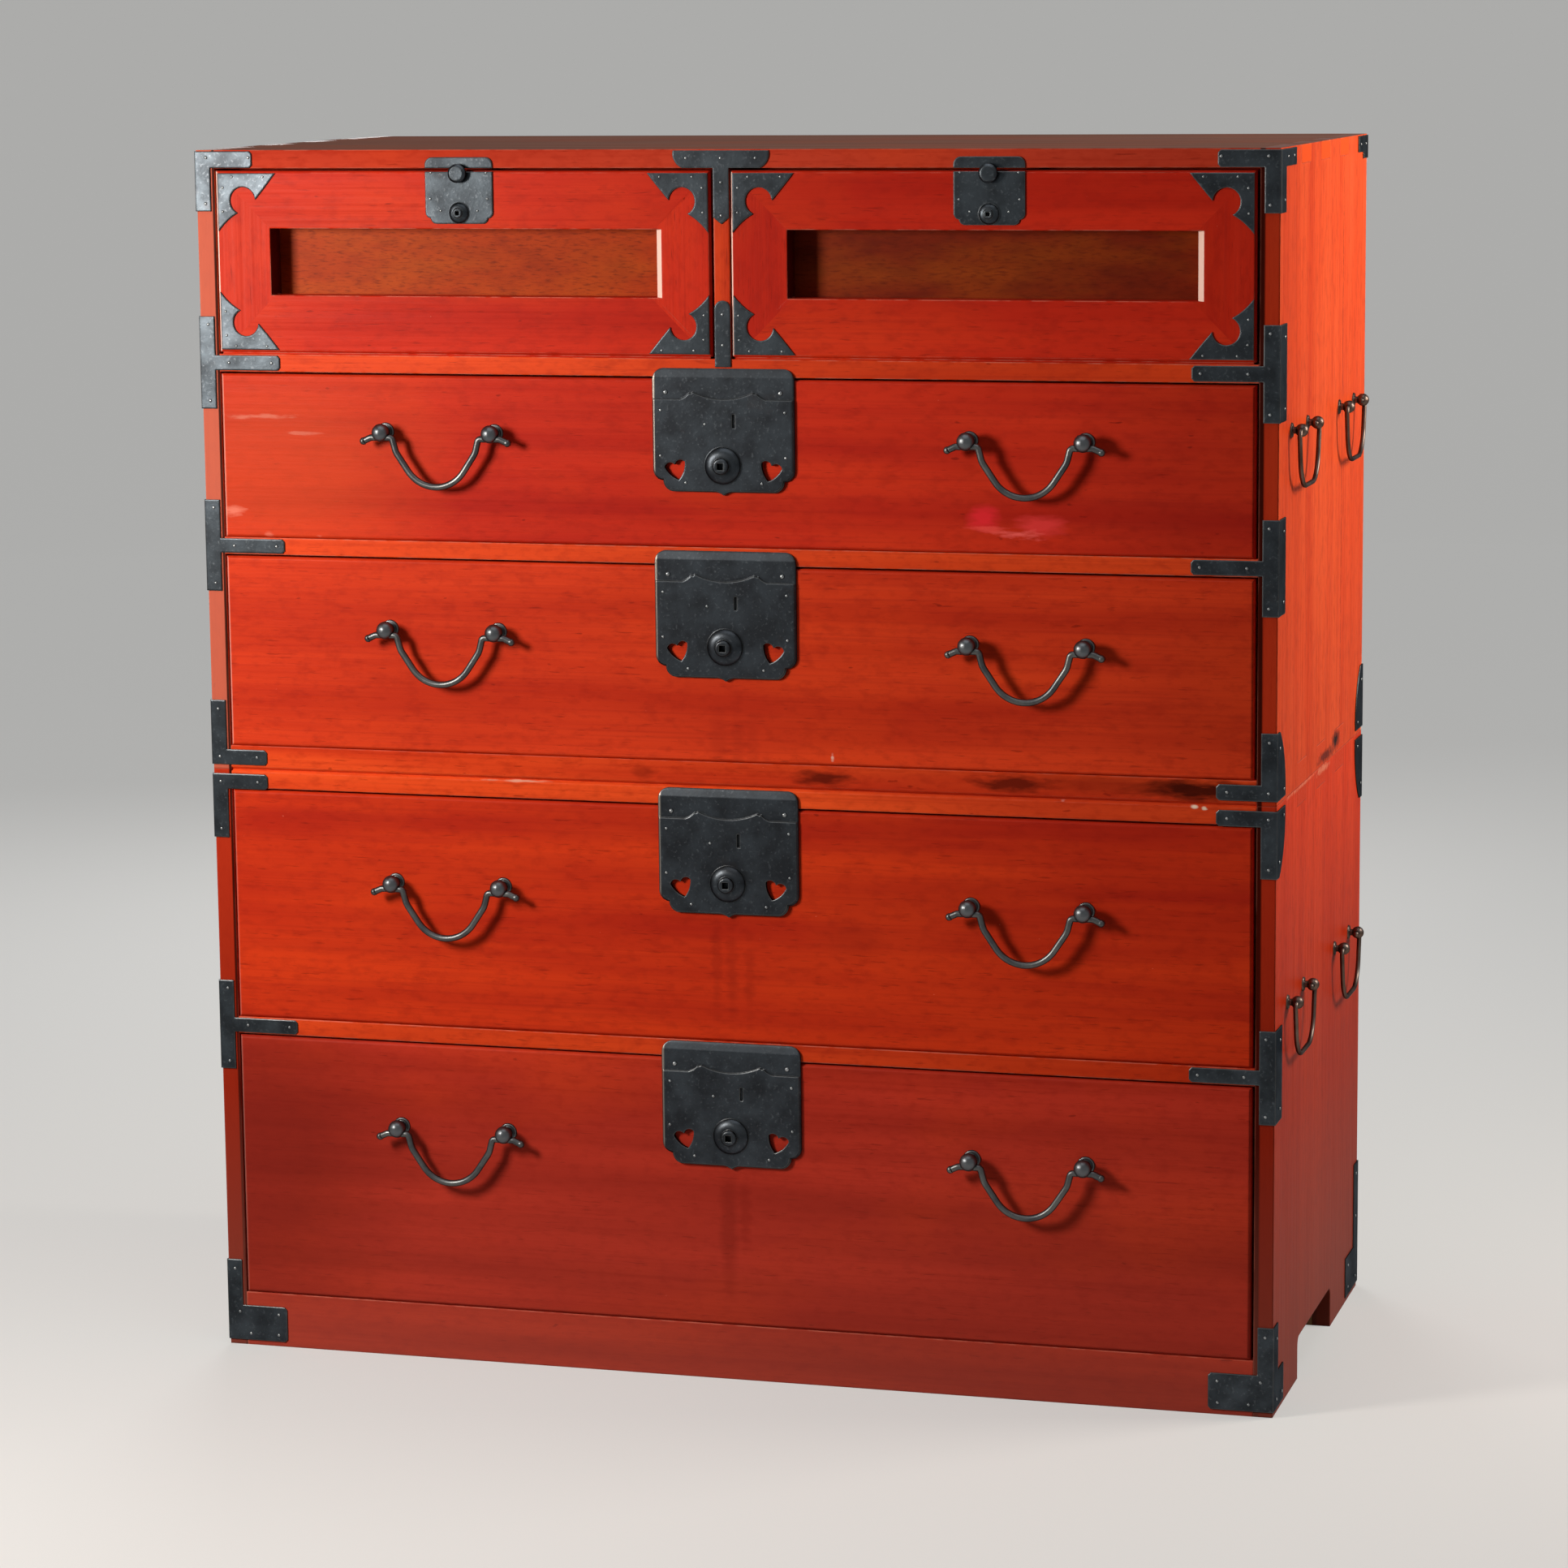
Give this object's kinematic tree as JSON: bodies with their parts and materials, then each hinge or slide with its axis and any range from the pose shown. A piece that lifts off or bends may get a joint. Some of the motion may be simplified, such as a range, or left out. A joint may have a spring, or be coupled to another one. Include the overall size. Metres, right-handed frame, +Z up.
{
  "type": "chest of drawers",
  "caption": "Stacking clothes chest in two cases: red lacquered wood, lift-out doors above full-width drawers, iron lock plates, bail handles and corner irons.",
  "frame": {"origin": "on the floor, at the middle of the whole part's width and depth", "axes": "+X to the right seen from the front, +Y to the back, +Z up; the drawers open towards -Y"},
  "size_m": [1.061, 0.499, 1.1576],
  "materials": {
    "lacquered_wood": "worn red lacquer over open grain",
    "panel_wood": "golden brown wiped lacquer",
    "bare_wood": "unfinished softwood",
    "wrought_iron": "blackened and rubbed"
  },
  "bodies": {
    "lower_case": {"lower_left_side": "lacquered_wood", "lower_right_side": "lacquered_wood", "lower_top_board": "lacquered_wood", "lower_floor_board": "bare_wood", "lower_back_boards": "bare_wood", "lower_drawer_shelf": "lacquered_wood", "plinth_front": "lacquered_wood", "rear_bearer": "bare_wood", "lower_corner_irons": "wrought_iron", "lower_handle_posts": "wrought_iron"},
    "upper_case": {"upper_left_side": "lacquered_wood", "upper_right_side": "lacquered_wood", "upper_top_board": "lacquered_wood", "upper_floor_board": "lacquered_wood", "upper_back_boards": "bare_wood", "upper_drawer_shelf": "lacquered_wood", "door_sill_shelf": "lacquered_wood", "centre_divider": "lacquered_wood", "upper_corner_irons": "wrought_iron", "upper_handle_posts": "wrought_iron"},
    "drawer_1": {"drawer_1_front": "lacquered_wood", "drawer_1_box": "bare_wood", "drawer_1_ironwork": "wrought_iron"},
    "drawer_1_bolt": {"drawer_1_bolt": "wrought_iron"},
    "drawer_1_left_bail": {"drawer_1_left_bail": "wrought_iron"},
    "drawer_1_right_bail": {"drawer_1_right_bail": "wrought_iron"},
    "drawer_2": {"drawer_2_front": "lacquered_wood", "drawer_2_box": "bare_wood", "drawer_2_ironwork": "wrought_iron"},
    "drawer_2_bolt": {"drawer_2_bolt": "wrought_iron"},
    "drawer_2_left_bail": {"drawer_2_left_bail": "wrought_iron"},
    "drawer_2_right_bail": {"drawer_2_right_bail": "wrought_iron"},
    "drawer_3": {"drawer_3_front": "lacquered_wood", "drawer_3_box": "bare_wood", "drawer_3_ironwork": "wrought_iron"},
    "drawer_3_bolt": {"drawer_3_bolt": "wrought_iron"},
    "drawer_3_left_bail": {"drawer_3_left_bail": "wrought_iron"},
    "drawer_3_right_bail": {"drawer_3_right_bail": "wrought_iron"},
    "drawer_4": {"drawer_4_front": "lacquered_wood", "drawer_4_box": "bare_wood", "drawer_4_ironwork": "wrought_iron"},
    "drawer_4_bolt": {"drawer_4_bolt": "wrought_iron"},
    "drawer_4_left_bail": {"drawer_4_left_bail": "wrought_iron"},
    "drawer_4_right_bail": {"drawer_4_right_bail": "wrought_iron"},
    "left_door": {"left_door_frame": "lacquered_wood", "left_door_panel": "panel_wood", "left_door_irons": "wrought_iron"},
    "left_door_bolt": {"left_door_bolt": "wrought_iron"},
    "right_door": {"right_door_frame": "lacquered_wood", "right_door_panel": "panel_wood", "right_door_irons": "wrought_iron"},
    "right_door_bolt": {"right_door_bolt": "wrought_iron"},
    "lower_right_front_bail": {"lower_right_front_bail": "wrought_iron"},
    "lower_right_rear_bail": {"lower_right_rear_bail": "wrought_iron"},
    "upper_right_front_bail": {"upper_right_front_bail": "wrought_iron"},
    "upper_right_rear_bail": {"upper_right_rear_bail": "wrought_iron"},
    "lower_left_front_bail": {"lower_left_front_bail": "wrought_iron"},
    "lower_left_rear_bail": {"lower_left_rear_bail": "wrought_iron"},
    "upper_left_front_bail": {"upper_left_front_bail": "wrought_iron"},
    "upper_left_rear_bail": {"upper_left_rear_bail": "wrought_iron"}
  },
  "joints": [
    {"name": "upper_case_lift", "type": "slide", "parent": "lower_case", "child": "upper_case", "axis": [0, 0, 1], "range_m": [0, 0.1]},
    {"name": "drawer_1_slide", "type": "slide", "parent": "upper_case", "child": "drawer_1", "axis": [0, -1, 0], "range_m": [0, 0.382]},
    {"name": "drawer_1_bolt_slide", "type": "slide", "parent": "drawer_1", "child": "drawer_1_bolt", "axis": [0, 0, 1], "range_m": [0, 0.01]},
    {"name": "drawer_1_left_bail_swing", "type": "hinge", "parent": "drawer_1", "child": "drawer_1_left_bail", "pos_m": [-0.277, -0.24115, 0.8911], "axis": [-1, 0, 0], "range_deg": [-11, 188]},
    {"name": "drawer_1_right_bail_swing", "type": "hinge", "parent": "drawer_1", "child": "drawer_1_right_bail", "pos_m": [0.286, -0.24115, 0.8911], "axis": [-1, 0, 0], "range_deg": [-11, 188]},
    {"name": "drawer_2_slide", "type": "slide", "parent": "upper_case", "child": "drawer_2", "axis": [0, -1, 0], "range_m": [0, 0.382]},
    {"name": "drawer_2_bolt_slide", "type": "slide", "parent": "drawer_2", "child": "drawer_2_bolt", "axis": [0, 0, 1], "range_m": [0, 0.01]},
    {"name": "drawer_2_left_bail_swing", "type": "hinge", "parent": "drawer_2", "child": "drawer_2_left_bail", "pos_m": [-0.277, -0.24115, 0.7048], "axis": [-1, 0, 0], "range_deg": [-11, 188]},
    {"name": "drawer_2_right_bail_swing", "type": "hinge", "parent": "drawer_2", "child": "drawer_2_right_bail", "pos_m": [0.286, -0.24115, 0.7048], "axis": [-1, 0, 0], "range_deg": [-11, 188]},
    {"name": "drawer_3_slide", "type": "slide", "parent": "lower_case", "child": "drawer_3", "axis": [0, -1, 0], "range_m": [0, 0.382]},
    {"name": "drawer_3_bolt_slide", "type": "slide", "parent": "drawer_3", "child": "drawer_3_bolt", "axis": [0, 0, 1], "range_m": [0, 0.01]},
    {"name": "drawer_3_left_bail_swing", "type": "hinge", "parent": "drawer_3", "child": "drawer_3_left_bail", "pos_m": [-0.277, -0.24115, 0.462], "axis": [-1, 0, 0], "range_deg": [-11, 188]},
    {"name": "drawer_3_right_bail_swing", "type": "hinge", "parent": "drawer_3", "child": "drawer_3_right_bail", "pos_m": [0.286, -0.24115, 0.462], "axis": [-1, 0, 0], "range_deg": [-11, 188]},
    {"name": "drawer_4_slide", "type": "slide", "parent": "lower_case", "child": "drawer_4", "axis": [0, -1, 0], "range_m": [0, 0.382]},
    {"name": "drawer_4_bolt_slide", "type": "slide", "parent": "drawer_4", "child": "drawer_4_bolt", "axis": [0, 0, 1], "range_m": [0, 0.01]},
    {"name": "drawer_4_left_bail_swing", "type": "hinge", "parent": "drawer_4", "child": "drawer_4_left_bail", "pos_m": [-0.277, -0.24115, 0.2237], "axis": [-1, 0, 0], "range_deg": [-11, 188]},
    {"name": "drawer_4_right_bail_swing", "type": "hinge", "parent": "drawer_4", "child": "drawer_4_right_bail", "pos_m": [0.286, -0.24115, 0.2237], "axis": [-1, 0, 0], "range_deg": [-11, 188]},
    {"name": "left_door_tilt", "type": "hinge", "parent": "upper_case", "child": "left_door", "pos_m": [-0.25325, -0.22115, 0.9677], "axis": [1, 0, 0], "range_deg": [0, 30]},
    {"name": "left_door_bolt_slide", "type": "slide", "parent": "left_door", "child": "left_door_bolt", "axis": [0, 0, 1], "range_m": [0, 0.008]},
    {"name": "right_door_tilt", "type": "hinge", "parent": "upper_case", "child": "right_door", "pos_m": [0.25125, -0.22115, 0.9677], "axis": [1, 0, 0], "range_deg": [0, 30]},
    {"name": "right_door_bolt_slide", "type": "slide", "parent": "right_door", "child": "right_door_bolt", "axis": [0, 0, 1], "range_m": [0, 0.008]},
    {"name": "lower_right_front_bail_swing", "type": "hinge", "parent": "lower_case", "child": "lower_right_front_bail", "pos_m": [0.5245, -0.12165, 0.3776], "axis": [0, -1, 0], "range_deg": [-6, 186]},
    {"name": "lower_right_rear_bail_swing", "type": "hinge", "parent": "lower_case", "child": "lower_right_rear_bail", "pos_m": [0.5245, 0.13835, 0.3776], "axis": [0, -1, 0], "range_deg": [-6, 186]},
    {"name": "upper_right_front_bail_swing", "type": "hinge", "parent": "upper_case", "child": "upper_right_front_bail", "pos_m": [0.5245, -0.12165, 0.9036], "axis": [0, -1, 0], "range_deg": [-6, 186]},
    {"name": "upper_right_rear_bail_swing", "type": "hinge", "parent": "upper_case", "child": "upper_right_rear_bail", "pos_m": [0.5245, 0.13835, 0.9036], "axis": [0, -1, 0], "range_deg": [-6, 186]},
    {"name": "lower_left_front_bail_swing", "type": "hinge", "parent": "lower_case", "child": "lower_left_front_bail", "pos_m": [-0.5245, -0.12165, 0.3776], "axis": [0, 1, 0], "range_deg": [-6, 186]},
    {"name": "lower_left_rear_bail_swing", "type": "hinge", "parent": "lower_case", "child": "lower_left_rear_bail", "pos_m": [-0.5245, 0.13835, 0.3776], "axis": [0, 1, 0], "range_deg": [-6, 186]},
    {"name": "upper_left_front_bail_swing", "type": "hinge", "parent": "upper_case", "child": "upper_left_front_bail", "pos_m": [-0.5245, -0.12165, 0.9036], "axis": [0, 1, 0], "range_deg": [-6, 186]},
    {"name": "upper_left_rear_bail_swing", "type": "hinge", "parent": "upper_case", "child": "upper_left_rear_bail", "pos_m": [-0.5245, 0.13835, 0.9036], "axis": [0, 1, 0], "range_deg": [-6, 186]}
  ]
}
